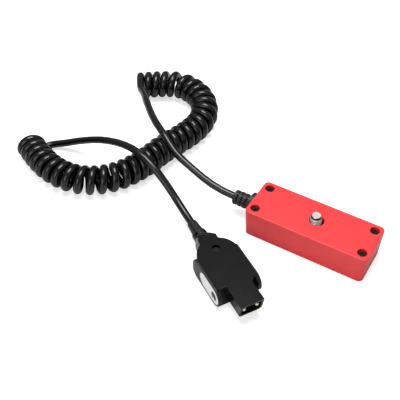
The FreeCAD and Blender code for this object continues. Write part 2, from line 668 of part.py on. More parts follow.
def nose_solid():
    """Nose in front of the body with rounded upper edges, and its root inside the body."""
    tip = nose_bar(0, SHOULDER_X, PLUG_T).cut(beyond_mouth())
    upper = [e for e in tip.Edges if e.BoundBox.ZMin > PLUG_T - 1e-3 and e.BoundBox.YLength < 1e-3]
    tip = tip.makeFillet(NOSE_EDGE, upper)
    return tip.fuse(nose_bar(0, SHOULDER_X - NOSE_ROOT, SHOULDER_X)).removeSplitter()


def edged(shape, z):
    """Round the outer edges of a level face."""
    rim = [e for e in shape.Edges if e.BoundBox.ZMin > z - 1e-3 and e.BoundBox.ZMax < z + 1e-3]
    return shape.makeFillet(SHELL_EDGE, rim)


def body_shell(z0, z1, rounded_z):
    """One half of the hollow body, with its half of the neck."""
    half = body_plan(0, z0, z1)
    half = edged(half, rounded_z)
    slab = box((-2 * BOX_L, -BOX_L, z0), (BOX_L, BOX_L, z1))
    half = half.fuse(neck_solid().common(slab)).removeSplitter()
    inset = SIDE_WALL
    hollow = body_plan(inset, SHELL_WALL, PLUG_T - SHELL_WALL)
    half = half.cut(hollow)
    middle = V(0, 0, PLUG_MID_Z)
    half = half.cut(cylinder(BOOT_TAIL_R + SLIP, middle + X * (NECK_X - 1), middle + X * REAR_X))
    return half.cut(cylinder(BOOT_STOP_R + SLIP, middle + X * (BOOT_STOP_X - SLIP),
                             middle + X * (BOOT_END_X + SLIP)))


def side_plate_shape(length, height, middle_x, inner, outer, side):
    centre = V(middle_x, side * inner, PLUG_MID_Z)
    return stadium(length, height, centre, side * (outer - inner))


def pad_shape(gap, inner, outer, side):
    """Pad with a half-round front end and tighter corners at its rear."""
    length, height = PAD_L + 2 * gap, PAD_H + 2 * gap
    front = side_plate_shape(length, height, PAD_NOSE_X - PAD_L / 2, inner, outer, side)
    centre = V(PAD_NOSE_X - PAD_L - gap + PAD_REAR_L / 2, side * inner, PLUG_MID_Z)
    wire = rounded_wire(PAD_REAR_L, height, PAD_REAR_R + gap, centre, X, Z)
    return front.fuse(Part.Face(wire).extrude(Y * side * (outer - inner))).removeSplitter()


def pad_pockets(gap):
    inner = HALF_W + PAD_OUT - PAD_T
    return [pad_shape(gap, inner - gap, HALF_W + PLUG_T, side) for side in (-1, 1)]


def make_plug_top():
    shell = body_shell(PLUG_MID_Z, PLUG_T, PLUG_T)
    column = V(SCREW_X, SCREW_Y, 0)
    shell = shell.fuse(cylinder(COLUMN_R, column + Z * PLUG_MID_Z, column + Z * (PLUG_T - 1)))
    shell = shell.cut(nose_bar(-0.001, SHOULDER_X - NOSE_ROOT, SHOULDER_X + 1))
    shell = shell.fuse(nose_solid()).removeSplitter()
    shell = shell.cut(nose_bar(NOSE_WALL, BLOCK_BACK_X - 1, PLUG_T))
    ledge = PLUG_T - SCREW_DEEP
    shell = shell.cut(cylinder(SCREW_HEAD_R + SEAT, column + Z * ledge, column + Z * (PLUG_T + 1)))
    shell = shell.cut(cylinder(SCREW_SHANK_R + SLIP, column, column + Z * PLUG_T))
    return shell.cut(group(pad_pockets(SLIP)))


def make_plug_bottom():
    shell = body_shell(0, PLUG_MID_Z, 0)
    column = V(SCREW_X, SCREW_Y, 0)
    shell = shell.fuse(cylinder(COLUMN_R, column + Z, column + Z * PLUG_MID_Z)).removeSplitter()
    shell = shell.cut(nose_bar(-SEAT, SHOULDER_X - NOSE_ROOT - SEAT, SHOULDER_X + 1))
    foot = SCREW_FOOT_Z - SEAT
    shell = shell.cut(cylinder(SCREW_SHANK_R + SLIP, column + Z * foot, column + Z * PLUG_T))
    return shell.cut(group(pad_pockets(SLIP)))


def make_plug_screw():
    seat = V(SCREW_X, SCREW_Y, PLUG_T - SCREW_DEEP)
    top = seat + Z * SCREW_HEAD_T
    screw = cylinder(SCREW_HEAD_R, seat, top)
    screw = screw.fuse(cylinder(SCREW_SHANK_R, V(SCREW_X, SCREW_Y, SCREW_FOOT_Z), seat))
    return screw.removeSplitter().cut(cross_recess(top, 2.6, 0.6, 0.6))


def pin_line(side, x0, x1, radius):
    y = side * PIN_APART / 2
    return cylinder(radius, V(x0, y, PIN_Z), V(x1, y, PIN_Z))


def make_pin_block():
    block = nose_bar(NOSE_WALL + SLIP, BLOCK_BACK_X, BLOCK_FRONT_X)
    bores = [pin_line(s, BLOCK_BACK_X - 1, BLOCK_FRONT_X + 1, PIN_R + SLIP) for s in (-1, 1)]
    return block.cut(group(bores))


def make_contact_pins():
    tip = mouth_x(PIN_Z) - PIN_SUNK
    pins = []
    for side in (-1, 1):
        pin = pin_line(side, PIN_TAIL_X, tip, PIN_R)
        front = [e for e in pin.Edges if e.BoundBox.XMin > tip - 1e-3]
        pins.append(pin.makeFillet(0.6, front))
    return group(pins)


def rivet_bar(side, inner, outer, radius):
    return cylinder(radius, V(RIVET_X, side * inner, PLUG_MID_Z), V(RIVET_X, side * outer, PLUG_MID_Z))


def make_side_pads():
    inner, outer = HALF_W + PAD_OUT - PAD_T, HALF_W + PAD_OUT
    pads = []
    for side in (-1, 1):
        pad = pad_shape(0, inner, outer, side)
        face = [e for e in pad.Edges if abs(e.BoundBox.YMin - side * outer) < 1e-3
                and abs(e.BoundBox.YMax - side * outer) < 1e-3]
        pad = pad.makeFillet(0.35, face)
        pad = pad.cut(side_plate_shape(PLATE_L + 2 * SLIP, PLATE_H + 2 * SLIP, PLATE_X,
                                       outer - PLATE_T, outer + 1, side))
        pads.append(pad.cut(rivet_bar(side, inner - 1, outer + 1, RIVET_R + SLIP)))
    return group(pads)


def make_side_plates():
    outer = HALF_W + PAD_OUT
    plates = []
    for side in (-1, 1):
        plate = side_plate_shape(PLATE_L, PLATE_H, PLATE_X, outer - PLATE_T, outer - SLIP, side)
        plates.append(plate.cut(rivet_bar(side, outer - 1, outer + 1, RIVET_R + SLIP)))
    return group(plates)


def make_side_rivets():
    inner, outer = HALF_W + PAD_OUT - PAD_T, HALF_W + PAD_OUT - PLATE_T / 2
    return group([rivet_bar(side, inner, outer, RIVET_R) for side in (-1, 1)])


def make_plug_boot():
    """Sleeve and collar outside the neck, and a stop ring held between the shells."""
    middle = Z * PLUG_MID_Z
    collar_front = NECK_X - SEAT
    sleeve = cone(SLEEVE_R, SLEEVE_ROOT_R, middle + X * BOOT_MOUTH_X, middle + X * COLLAR_X)
    collar = cone(COLLAR_BACK_R, COLLAR_R, middle + X * COLLAR_X, middle + X * collar_front)
    rear = [e for e in collar.Edges if e.BoundBox.XMax < COLLAR_X + 1e-3]
    collar = collar.makeFillet(COLLAR_EDGE, rear)
    tail = cylinder(BOOT_TAIL_R, middle + X * collar_front, middle + X * BOOT_END_X)
    stop = cylinder(BOOT_STOP_R, middle + X * BOOT_STOP_X, middle + X * BOOT_END_X)
    boot = sleeve.fuse([collar, tail, stop]).removeSplitter()
    window_x = (COLLAR_X + NECK_X) / 2 - 0.9
    boot = boot.cut(group(rib_windows(window_x, 1.6, 4.0, 0.9, 3.0, PLUG_MID_Z)))
    return boot.cut(cylinder(CORD_R + SLIP, middle + X * (BOOT_MOUTH_X - 1), middle + X * REAR_X))


def make_plug_cord_tail():
    middle = Z * PLUG_MID_Z
    return cylinder(CORD_R, middle + X * BOOT_MOUTH_X, middle + X * PLUG_TAIL_X)


def make_plug_wires():
    """Two wires from the cord's end, round the screw's column, to the pins."""
    wires = []
    for side in (-1, 1):
        start = V(PLUG_TAIL_X, side * 1.6 * PLUG_WIRE_R, PLUG_MID_Z)
        end = V(PIN_TAIL_X, side * PIN_APART / 2, PIN_Z)
        beside = V(SCREW_X - 2, side * PLUG_WIRE_Y, PLUG_MID_Z)
        along = V(SCREW_X + PLUG_WIRE_PAST, side * PLUG_WIRE_Y, PIN_Z)
        points = [start, start + X * 1.2, beside, along, end - X * 4, end]
        wires.append(cord_tube("plug wire", points, PLUG_WIRE_R))
    return group(wires)


# ---- assembly ----------------------------------------------------------------------------
def make_cord():
    curl = coil_curl()
    coil, wire, top, foot = wound_tube(curl, COIL_TURNS, CORD_R, 2 * CORD_R)
    gap = least_gap(wire, CORD_R, math.pi * COIL_R)
    print(f"coil: length {wire.Length:.1f}, least gap {gap:.2f}, ends {top} {foot},"
          f" volume ratio {coil.Volume / (math.pi * CORD_R ** 2 * wire.Length):.4f}")
    box_points = ([GLAND_MOUTH] + [V(*p) for p in BOX_LEAD]
                  + [top[0] - top[1] * EXIT_RUN, top[0]])
    mouth = plug_point(BOOT_MOUTH_X, 0, PLUG_MID_Z)
    before = plug_point(BOOT_MOUTH_X - PLUG_RUN, 0, PLUG_MID_Z)
    plug_points = [foot[0], foot[0] + foot[1] * EXIT_RUN] + [V(*p) for p in PLUG_LEAD] + [before, mouth]
    return {"coil": coil, "box_lead": cord_tube("box_lead", box_points, CORD_R),
            "plug_lead": cord_tube("plug_lead", plug_points, CORD_R)}


def build():
    parts = {
        "case": make_case(),
        "lid": make_lid(),
        "lid_screws": make_lid_screws(),
        "mounting_screw": make_mounting_screw(),
        "screw_bush": make_bush(),
        "retaining_clip": make_clip(),
        "switch_body": make_switch_body(),
        "switch_nut": make_switch_nut(),
        "push_button": make_push_button(),
        "button_spring": make_button_spring(),
        "contact_bridge": make_contact_bridge(),
        "switch_base": make_switch_base(),
        "switch_terminals": make_switch_terminals(),
        "strain_relief": make_strain_relief(),
        "cord_tail": make_cord_tail(),
        "cord_tie": make_cord_tie(),
        "inner_wires": make_inner_wires(),
    }
    plug = {
        "plug_top_shell": make_plug_top,
        "plug_bottom_shell": make_plug_bottom,
        "plug_screw": make_plug_screw,
        "pin_block": make_pin_block,
        "contact_pins": make_contact_pins,
        "side_pads": make_side_pads,
        "side_plates": make_side_plates,
        "side_rivets": make_side_rivets,
        "plug_boot": make_plug_boot,
        "plug_cord_tail": make_plug_cord_tail,
        "plug_wires": make_plug_wires,
    }
    for name, make in plug.items():
        parts[name] = place_plug(make())
    parts.update(make_cord())
    return parts


os.makedirs("parts", exist_ok=True)
for name, shape in build().items():
    heights = [p.z for p in shape.tessellate(0.1)[0]]
    print(f"{name}: {len(shape.Solids)} solids, volume {shape.Volume:.1f},"
          f" z {min(heights):.3f} to {max(heights):.3f}, valid {shape.isValid()}")
    shape.exportStep(f"parts/{name}.step")
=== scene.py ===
# %% [markdown]
# # A red release box on a coiled cord
# The real object is a small painted box that screws under a camera bracket by the stud in its
# lid.  A curly cord leaves its left end, passes twice over its own coil and ends in a flat
# two-pin plug.  The box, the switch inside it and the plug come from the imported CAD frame, and
# this script gives them their finishes.  The cord and the threaded stud are modelled here,
# because a cord should be one smooth spline and a thread is too fine for the frame.

# %% Load the frame
import bpy
import math
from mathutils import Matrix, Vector


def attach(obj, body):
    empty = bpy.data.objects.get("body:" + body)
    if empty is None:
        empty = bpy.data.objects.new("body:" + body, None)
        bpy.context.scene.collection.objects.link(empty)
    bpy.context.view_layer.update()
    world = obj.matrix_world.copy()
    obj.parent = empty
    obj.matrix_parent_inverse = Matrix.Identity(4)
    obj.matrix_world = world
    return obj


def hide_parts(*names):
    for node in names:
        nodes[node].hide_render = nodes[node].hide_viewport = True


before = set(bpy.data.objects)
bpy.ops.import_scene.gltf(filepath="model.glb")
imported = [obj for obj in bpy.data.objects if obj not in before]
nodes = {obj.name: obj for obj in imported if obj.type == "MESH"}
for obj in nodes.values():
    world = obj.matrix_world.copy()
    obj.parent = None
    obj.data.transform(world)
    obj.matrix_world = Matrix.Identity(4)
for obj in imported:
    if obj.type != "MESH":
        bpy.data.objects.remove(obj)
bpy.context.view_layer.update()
MM = 0.001

# %% [markdown]
# ## The camera
# The camera looks down at 46 degrees from the front right, with a lens a little longer than
# normal, so that the long box keeps nearly parallel sides.

# %% Camera
CAMERA_AT = Vector((86.493, -263.150, 308.658)) * MM
AZIMUTH, ELEVATION, LENS = 30.757, 45.624, 67.75

camera_data = bpy.data.cameras.new("camera")
camera_data.lens = LENS
camera_data.sensor_width = 36
camera = bpy.data.objects.new("camera", camera_data)
camera.location = CAMERA_AT
camera.rotation_euler = (math.radians(90 - ELEVATION), 0, math.radians(AZIMUTH))
bpy.context.scene.collection.objects.link(camera)
bpy.context.scene.camera = camera

# %% [markdown]
# ## Light
# A product like this is lit by one soft box overhead, whose reflection draws the bright streak
# on every turn of the cord, and by a weaker one in front, so that the long wall doesn't go dark.
# Both are aimed at the middle of the part.

# %% Lamps
def soft_lamp(name, at, size, watts, aim=(-0.04, -0.02, 0.01)):
    """Square area lamp that faces a point."""
    data = bpy.data.lights.new(name, "AREA")
    data.size, data.energy = size, watts
    lamp = bpy.data.objects.new(name, data)
    lamp.location = at
    lamp.rotation_euler = (Vector(aim) - Vector(at)).to_track_quat("-Z", "Y").to_euler()
    bpy.context.scene.collection.objects.link(lamp)
    return lamp


soft_lamp("overhead_box", (-0.14, 0.04, 0.80), 0.45, 7.6)
soft_lamp("front_box", (-0.10, -0.85, 0.40), 0.60, 2.8)
print("lamps:", [lamp.name for lamp in bpy.data.lights])


# %% [markdown]
# ## Writing materials as sums
# A material is a small graph of nodes.  It reads best as a formula, so one class wraps a
# socket and lets Python's own signs make the Math nodes, and another holds the material.

# %% Shader helpers
class Field:
    """A value that changes over the surface, usable in Python sums."""

    def __init__(self, finish, socket):
        self.finish, self.socket = finish, socket

    def math(self, operation, other=0.0, flipped=False, clamp=False):
        pair = (other, self) if flipped else (self, other)
        settings = {"operation": operation, "use_clamp": clamp}
        return self.finish.node("ShaderNodeMath", settings, dict(enumerate(pair)))

    def __add__(self, other): return self.math("ADD", other)
    def __radd__(self, other): return self.math("ADD", other)
    def __sub__(self, other): return self.math("SUBTRACT", other)
    def __rsub__(self, other): return self.math("SUBTRACT", other, flipped=True)
    def __mul__(self, other): return self.math("MULTIPLY", other)
    def __truediv__(self, other): return self.math("DIVIDE", other)
    def __pow__(self, other): return self.math("POWER", other)

    def clamped(self):
        """The same value, held between 0 and 1."""
        return self.math("ADD", 0.0, clamp=True)


class Finish:
    """A Principled material that is built up by named values and node formulas."""

    def __init__(self, name, color, **values):
        self.material = bpy.data.materials.new(name)
        self.material.use_nodes = True
        self.tree = self.material.node_tree
        self.shader = self.tree.nodes["Principled BSDF"]
        self.material.diffuse_color = (*color, 1)
        self.set("Base Color", (*color, 1))
        for socket, value in values.items():
            self.set(socket.replace("_", " "), value)

    def set(self, name, value):
        socket = self.shader.inputs[name]
        if isinstance(value, Field):
            self.tree.links.new(value.socket, socket)
        else:
            socket.default_value = value

    def node(self, kind, settings=None, inputs=None, output=0):
        """New node with its settings and inputs, as the Field of one of its outputs."""
        node = self.tree.nodes.new(kind)
        for key, value in (settings or {}).items():
            setattr(node, key, value)
        for key, value in (inputs or {}).items():
            socket = node.inputs[key]
            if isinstance(value, Field):
                self.tree.links.new(value.socket, socket)
            else:
                socket.default_value = value
        return Field(self, node.outputs[output])

    def place(self, stretch=(1, 1, 1)):
        """Point on the object in metres, stretched along its axes."""
        where = self.node("ShaderNodeTexCoord", output="Object")
        return self.node("ShaderNodeMapping", None, {"Vector": where, "Scale": stretch})

    def noise(self, size_mm, detail=2.0, stretch=(1, 1, 1)):
        """Cloudy pattern between 0 and 1 with blots of this size."""
        return self.node("ShaderNodeTexNoise", None,
                         {"Vector": self.place(stretch), "Scale": 1000 / size_mm,
                          "Detail": detail})

    def blend(self, mask, first, second):
        """Colour that goes from first to second where the mask goes from 0 to 1."""
        first, second = (color if isinstance(color, Field) else (*color, 1)
                         for color in (first, second))
        return self.node("ShaderNodeMix", {"data_type": "RGBA"},
                         {0: mask, 6: first, 7: second}, output=2)

    def bump(self, height, depth_mm, strength=1.0):
        """Fine relief in the surface's normal."""
        normal = self.node("ShaderNodeBump", None,
                           {"Strength": strength, "Distance": depth_mm * MM, "Height": height})
        self.set("Normal", normal)


def srgb(*values):
    """Linear colour from the 0 to 255 values of a colour picker."""
    parts = [v / 255 for v in values]
    return tuple(p / 12.92 if p <= 0.04045 else ((p + 0.055) / 1.055) ** 2.4 for p in parts)


# %% [markdown]
# ## The room
# The world lights the object with a plain grey and shows white to the camera.  Reflections see
# something between: grey walls low down and a paler ceiling, so that the nickel is bright on
# top and the blacks stay deep.  The floor is a pale sheet with a little light of its own towards
# the camera, which lets the lamps stay low, and it keeps the soft shadow under the cord.

# %% White room
world = bpy.data.worlds.new("white_room")
bpy.context.scene.world = world
world.use_nodes = True
links, parts = world.node_tree.links, world.node_tree.nodes
sky = parts["Background"]
path = parts.new("ShaderNodeLightPath")
WORLD_LIGHT = 0.30                                   # what lights the object
TO_WHITE = 1.0 - WORLD_LIGHT                         # what is added for the camera and for glass
FLOOR_SIZE, FLOOR_SINK = 2.4, 0.2 * MM               # the sheet lies just under the part
FLOOR_GREY, FLOOR_GLOW = 0.64, 0.62
direction = parts.new("ShaderNodeTexCoord")
axes = parts.new("ShaderNodeSeparateXYZ")
links.new(direction.outputs["Generated"], axes.inputs[0])
wall = parts.new("ShaderNodeMapRange")               # reflections see grey walls, a pale ceiling
WALL_RANGE = {"From Min": 0.15, "From Max": 0.60, "To Min": -0.15, "To Max": 0.20}
for socket, value in WALL_RANGE.items():
    wall.inputs[socket].default_value = value
links.new(axes.outputs["Z"], wall.inputs["Value"])
total = WORLD_LIGHT
for ray, amount in (("Is Camera Ray", TO_WHITE), ("Is Transmission Ray", TO_WHITE),
                    ("Is Glossy Ray", wall.outputs["Result"])):
    term = parts.new("ShaderNodeMath")
    term.operation = "MULTIPLY_ADD"
    links.new(path.outputs[ray], term.inputs[0])
    for socket, value in ((term.inputs[1], amount), (term.inputs[2], total)):
        if isinstance(value, float):
            socket.default_value = value
        else:
            links.new(value, socket)
    total = term.outputs[0]
links.new(total, sky.inputs["Strength"])
sky.inputs["Color"].default_value = (1, 1, 1, 1)

bpy.ops.mesh.primitive_plane_add(size=FLOOR_SIZE, location=(0, 0, -FLOOR_SINK))
floor = bpy.context.object
floor.name = "floor"
paper = Finish("white_paper", (FLOOR_GREY,) * 3, Roughness=0.9)
to_camera = paper.node("ShaderNodeLightPath", output="Is Camera Ray")
glow = paper.node("ShaderNodeEmission", None,
                  {"Color": (1, 1, 1, 1), "Strength": to_camera * FLOOR_GLOW})
both = paper.tree.nodes.new("ShaderNodeAddShader")
paper.tree.links.new(paper.shader.outputs[0], both.inputs[0])
paper.tree.links.new(glow.socket, both.inputs[1])
paper.tree.links.new(both.outputs[0], paper.tree.nodes["Material Output"].inputs["Surface"])
floor.data.materials.append(paper.material)
print("world light:", WORLD_LIGHT, "floor:", FLOOR_SIZE, "m")

# %% [markdown]
# ## Red paint
# The box is a moulding with a satin red coat.  Paint of this kind has a faint orange peel, a
# slow change of tone from one place to the next, and a few grains of pale dust.

# %% Red paint
RED = srgb(226, 46, 50)


def red_paint():
    paint = Finish("red_paint", RED, IOR=1.5, Specular_IOR_Level=0.5)
    peel = paint.noise(0.9, 3)
    cloud = paint.noise(14, 2)
    dust = ((paint.noise(0.5, 1) - 0.74) * 9).clamped()
    tone = paint.blend((cloud - 0.35) * 0.9, RED, tuple(c * 0.86 for c in RED))
    paint.set("Base Color", paint.blend(dust * 0.2, tone, srgb(245, 150, 145)))
    paint.set("Roughness", 0.36 + cloud * 0.12 + dust * 0.2)
    paint.bump(peel + dust * 0.4, 0.03, 0.5)
    return paint


red = red_paint()
print("finish:", red.material.name, "with", len(red.tree.nodes), "shader nodes")

# %% [markdown]
# ## Black plastics and rubber
# Three blacks lie side by side here and must not look alike: the plug's shell is spark
# textured and satin, the cord's jacket is shiny PVC, and the boots are soft, duller rubber.  Each
# is the mould's own surface, so it has a fine grain, and hands polish it in patches.

# %% Blacks
def textured_black(name, shade, roughness, grain_mm, depth_mm, shine=0.35):
    """Moulded black plastic with a fine grain, slightly polished in patches."""
    finish = Finish(name, (shade,) * 3, IOR=1.48, Specular_IOR_Level=shine)
    grain, patch = finish.noise(grain_mm, 3), finish.noise(9, 2)
    finish.set("Base Color", finish.blend(patch, (shade * 0.8,) * 3, (shade * 1.35,) * 3))
    finish.set("Roughness", roughness - patch * 0.12 + grain * 0.08)
    finish.bump(grain, depth_mm, 0.6)
    return finish


shell_black = textured_black("plug_shell_black", 0.004, 0.24, 0.22, 0.003, 0.20)
boot_rubber = textured_black("boot_rubber", 0.008, 0.46, 0.5, 0.02)
switch_black = textured_black("switch_black", 0.010, 0.40, 0.3, 0.01)
button_black = textured_black("button_black", 0.008, 0.22, 1.5, 0.004)
jacket = textured_black("cord_jacket", 0.002, 0.22, 2.5, 0.006, 0.42)
BLACKS = (shell_black, boot_rubber, switch_black, button_black, jacket)
print("blacks:", [finish.material.name for finish in BLACKS])

# %% [markdown]
# ## Metals
# The stud is nickel plated and turned, so its finish has rings round the axis, and the roots
# of its thread are painted darker as shade.  The contacts are plain pale brass, the plates in the
# plug's sides are stamped and brushed, the small screws are blackened steel, and the spring clip
# is painted near black as the shade inside the stud's hole.

# %% Metals
TURNED, ROLLED, PLAIN = (0.05, 0.05, 1), (0.04, 0.04, 1), (0.3, 0.3, 0.3)


def turned_metal(name, color, roughness, stretch, metallic=1.0):
    """Metal with fine tool marks: the noise is long in the directions that stretch makes small."""
    finish = Finish(name, color, Metallic=metallic)
    marks, stain = finish.noise(0.12, 2, stretch), finish.noise(3, 3)
    finish.set("Base Color", finish.blend(stain, tuple(c * 0.82 for c in color), color))
    finish.set("Roughness", roughness + marks * 0.15 + stain * 0.1)
    finish.bump(marks, 0.006, 0.5)
    return finish


def threaded_nickel(name, color, root_shade, axis_x, crest, root, tip):
    """Turned nickel with painted shade in the thread's roots: darker with depth below the crest
    radius, except on the tip.
    """
    finish = turned_metal(name, color, 0.20, TURNED)
    in_mm = {"Vector": finish.place((1 / MM,) * 3)}
    x, y, z = (finish.node("ShaderNodeSeparateXYZ", None, in_mm, axis) for axis in "XYZ")
    radius = ((x - axis_x) ** 2 + y ** 2) ** 0.5
    depth = ((crest - radius) / (crest - root)).clamped()
    below = ((tip - z) * 20).clamped()
    stained = finish.blend(finish.noise(0.7, 2), color, tuple(c * 0.8 for c in color))
    # painted shade: the thread's roots are coloured darker, where shade falls
    finish.set("Base Color", finish.blend(depth * below, stained, root_shade))
    return finish


nickel = turned_metal("nickel_plate", srgb(240, 236, 230), 0.20, TURNED)
steel = turned_metal("brushed_steel", srgb(244, 244, 245), 0.38, ROLLED)
brass = turned_metal("plain_brass", srgb(246, 238, 210), 0.34, PLAIN)
black_metal = turned_metal("blackened_screw", (0.035, 0.03, 0.03), 0.22, (1, 1, 1), 0.8)
# painted shade: the spring clip is coloured near black to stand for the shade inside the stud's
# hole
clip_shade_black = turned_metal("clip_painted_shade", (0.03, 0.03, 0.035), 0.3, ROLLED, 0.8)
METALS = (nickel, steel, brass, black_metal, clip_shade_black)
print("metals:", [finish.material.name for finish in METALS])

# %% [markdown]
# ## Small inner pieces
# The wires and the tie inside are seen only when the box is taken apart, but they get the
# finish of the real ones too: coloured wire coat, and nylon that has gone slightly yellow.

# %% Wires and tie
wire_coat = Finish("wire_coat", srgb(150, 20, 18), Roughness=0.42)
wire_coat.bump(wire_coat.noise(0.8, 2), 0.01, 0.4)
nylon = Finish("natural_nylon", srgb(225, 224, 214), Roughness=0.4)
nylon.set("Base Color", nylon.blend(nylon.noise(2, 2), srgb(214, 212, 200), srgb(232, 231, 224)))
nylon.bump(nylon.noise(0.6, 2), 0.01, 0.4)

FINISHES = {
    "case": red, "lid": red, "lid_screws": black_metal, "plug_screw": black_metal,
    "mounting_screw": nickel, "screw_bush": brass, "retaining_clip": clip_shade_black,
    "button_spring": steel, "side_plates": steel, "switch_nut": nickel,
    "switch_body": switch_black, "switch_base": switch_black, "push_button": button_black,
    "contact_bridge": brass, "switch_terminals": brass, "contact_pins": brass,
    "strain_relief": boot_rubber, "plug_boot": boot_rubber, "side_pads": boot_rubber,
    "side_rivets": boot_rubber, "plug_top_shell": shell_black,
    "plug_bottom_shell": shell_black, "pin_block": shell_black, "cord_tail": jacket,
    "plug_cord_tail": jacket, "inner_wires": wire_coat, "plug_wires": wire_coat,
    "cord_tie": nylon,
}
for node, finish in FINISHES.items():
    for material_slot in nodes[node].material_slots:
        material_slot.material = finish.material
print("nodes with a finish:", len(FINISHES), "of", len(nodes))

# %% [markdown]
# ## The threaded stud
# The stud is a quarter-inch screw that is held in the box and turned by a slotted head below.
# A thread could be a bump in the material, but this one stands out against the lid, so it is
# cut for real.  First comes the blank, as a lathe leaves it: a disc is extruded from ring to
# ring, and each new ring is scaled to its radius.  The blank stands at the frame's middle and is
# moved to the stud's place when it is finished.

# %% Turned blank
def only(*pieces):
    """Select these pieces and nothing else, and make the first one active."""
    bpy.ops.object.select_all(action="DESELECT")
    for piece in pieces:
        piece.select_set(True)
    if pieces:
        bpy.context.view_layer.objects.active = pieces[0]


def turned(name, rings, sides=96):
    """Solid of revolution about the Z axis, from (radius, height) rings in millimetres."""
    only()
    radius, height = rings[0]
    bpy.ops.mesh.primitive_circle_add(vertices=sides, radius=radius * MM, fill_type="NGON",
                                      location=(0, 0, height * MM))
    piece = bpy.context.object
    piece.name = piece.data.name = name
    bpy.ops.object.transform_apply()
    bpy.ops.object.mode_set(mode="EDIT")
    bpy.ops.mesh.select_all(action="SELECT")
    for wider, higher in rings[1:]:
        rise = {"value": (0, 0, (higher - height) * MM)}
        bpy.ops.mesh.extrude_region_move(TRANSFORM_OT_translate=rise)
        bpy.ops.transform.resize(value=(wider / radius, wider / radius, 1),
                                 center_override=(0, 0, higher * MM))
        radius, height = wider, higher
    bpy.ops.mesh.select_all(action="SELECT")
    bpy.ops.mesh.normals_make_consistent(inside=False)
    bpy.ops.object.mode_set(mode="OBJECT")
    return piece


STUD_X, STUD_R = 0.9, 3.175
STUD_RINGS = [(6.0, 0.5), (6.28, 0.62), (6.4, 0.9), (6.4, 3.55), (6.25, 3.7), (STUD_R, 3.7),
              (STUD_R, 12.85), (2.62, 12.86), (2.62, 13.74), (STUD_R, 13.75), (STUD_R, 19.7),
              (2.95, 19.95), (2.5, 20.3), (2.44, 20.5), (2.42, 21.28), (2.28, 21.45)]
stud = turned("threaded_stud", STUD_RINGS)
print("stud blank:", len(stud.data.vertices), "vertices")

# %% [markdown]
# ## Cutting the thread and the slot
# The cutter is a triangle that a Screw modifier winds up the blank, one pitch a turn, and a
# Boolean takes it away.  The triangle is a little narrower than the pitch, because turns that
# overlap make a cutter that the Boolean can't use.  A cube cuts the screwdriver slot in the head.

# %% Thread and slot
PITCH, THREAD_DEPTH, THREAD_FOOT, THREAD_TURNS = 1.27, 0.72, 15.3, 5
THREAD_PROUD, TURN_STEPS = 0.03, 72             # the cutter stands out of the blank by this much
SLOT_L, SLOT_W, SLOT_H = 14.0, 1.4, 1.2
CRISP_ANGLE = math.radians(32)
GROOVE_SHARE = 0.9                              # of the pitch; the rest is the crest's flat


def cut_away(piece, cutter):
    """Take the cutter out of the piece and remove it."""
    only(piece)
    cut = piece.modifiers.new("cut", "BOOLEAN")
    cut.object, cut.operation, cut.solver = cutter, "DIFFERENCE", "EXACT"
    bpy.ops.object.modifier_apply(modifier=cut.name)
    bpy.data.objects.remove(cutter)


def wound_cutter(root, crest, pitch, foot, rounds):
    """V-shaped cutter on a right-hand helix about the Z axis, closed at both ends."""
    only()
    size = (crest - root) / 1.5
    upright = (math.pi / 2, -math.pi / 2, 0)
    bpy.ops.mesh.primitive_circle_add(vertices=3, radius=size * MM, rotation=upright,
                                      location=((root + size) * MM, 0, foot * MM))
    cutter = bpy.context.object
    bpy.ops.object.transform_apply()
    bpy.ops.object.mode_set(mode="EDIT")
    bpy.ops.mesh.select_all(action="SELECT")
    widen = GROOVE_SHARE * pitch / (math.sqrt(3) * size)
    bpy.ops.transform.resize(value=(1, 1, widen), center_override=(crest * MM, 0, foot * MM))
    bpy.ops.object.mode_set(mode="OBJECT")
    wind = cutter.modifiers.new("wind", "SCREW")
    wind.axis, wind.angle, wind.iterations = "Z", 2 * math.pi, rounds
    wind.screw_offset = pitch * MM
    wind.steps = wind.render_steps = TURN_STEPS
    bpy.ops.object.modifier_apply(modifier=wind.name)
    bpy.ops.object.mode_set(mode="EDIT")
    bpy.ops.mesh.select_all(action="SELECT")
    bpy.ops.mesh.fill_holes(sides=3)
    bpy.ops.mesh.select_all(action="SELECT")
    bpy.ops.mesh.normals_make_consistent(inside=False)
    bpy.ops.object.mode_set(mode="OBJECT")
    return cutter


cutter = wound_cutter(STUD_R - THREAD_DEPTH, STUD_R + THREAD_PROUD, PITCH, THREAD_FOOT,
                      THREAD_TURNS)
cut_away(stud, cutter)
only()
bpy.ops.mesh.primitive_cube_add(size=1, location=(0, 0, SLOT_H * MM),
                                scale=(SLOT_L * MM, SLOT_W * MM, SLOT_H * MM))
slot = bpy.context.object
bpy.ops.object.transform_apply()
cut_away(stud, slot)
only(stud)
stud.location.x = STUD_X * MM
bpy.ops.object.transform_apply()
bpy.ops.object.shade_smooth_by_angle(angle=CRISP_ANGLE)
# the dark colour passed here is painted shade for the thread's roots
STUD_NICKEL = threaded_nickel("stud_nickel", srgb(246, 242, 236), srgb(40, 35, 32),
                              STUD_X, STUD_R - 0.08, STUD_R - THREAD_DEPTH, 21.25)
stud.data.materials.append(STUD_NICKEL.material)
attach(stud, "mounting_screw")
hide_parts("mounting_screw")
print("threaded stud:", len(stud.data.polygons), "faces")

# %% [markdown]
# ## The cord
# A curly cord is a straight cord that was wound on a rod and set with heat, so it is drawn the
# same way: first the line that the coil's middle follows, then the turns round it, and then one
# NURBS spline through the leads and all the turns, with a round bevel as its thickness.  The
# two leads pass over the coil, so their points rise there to more than its height.

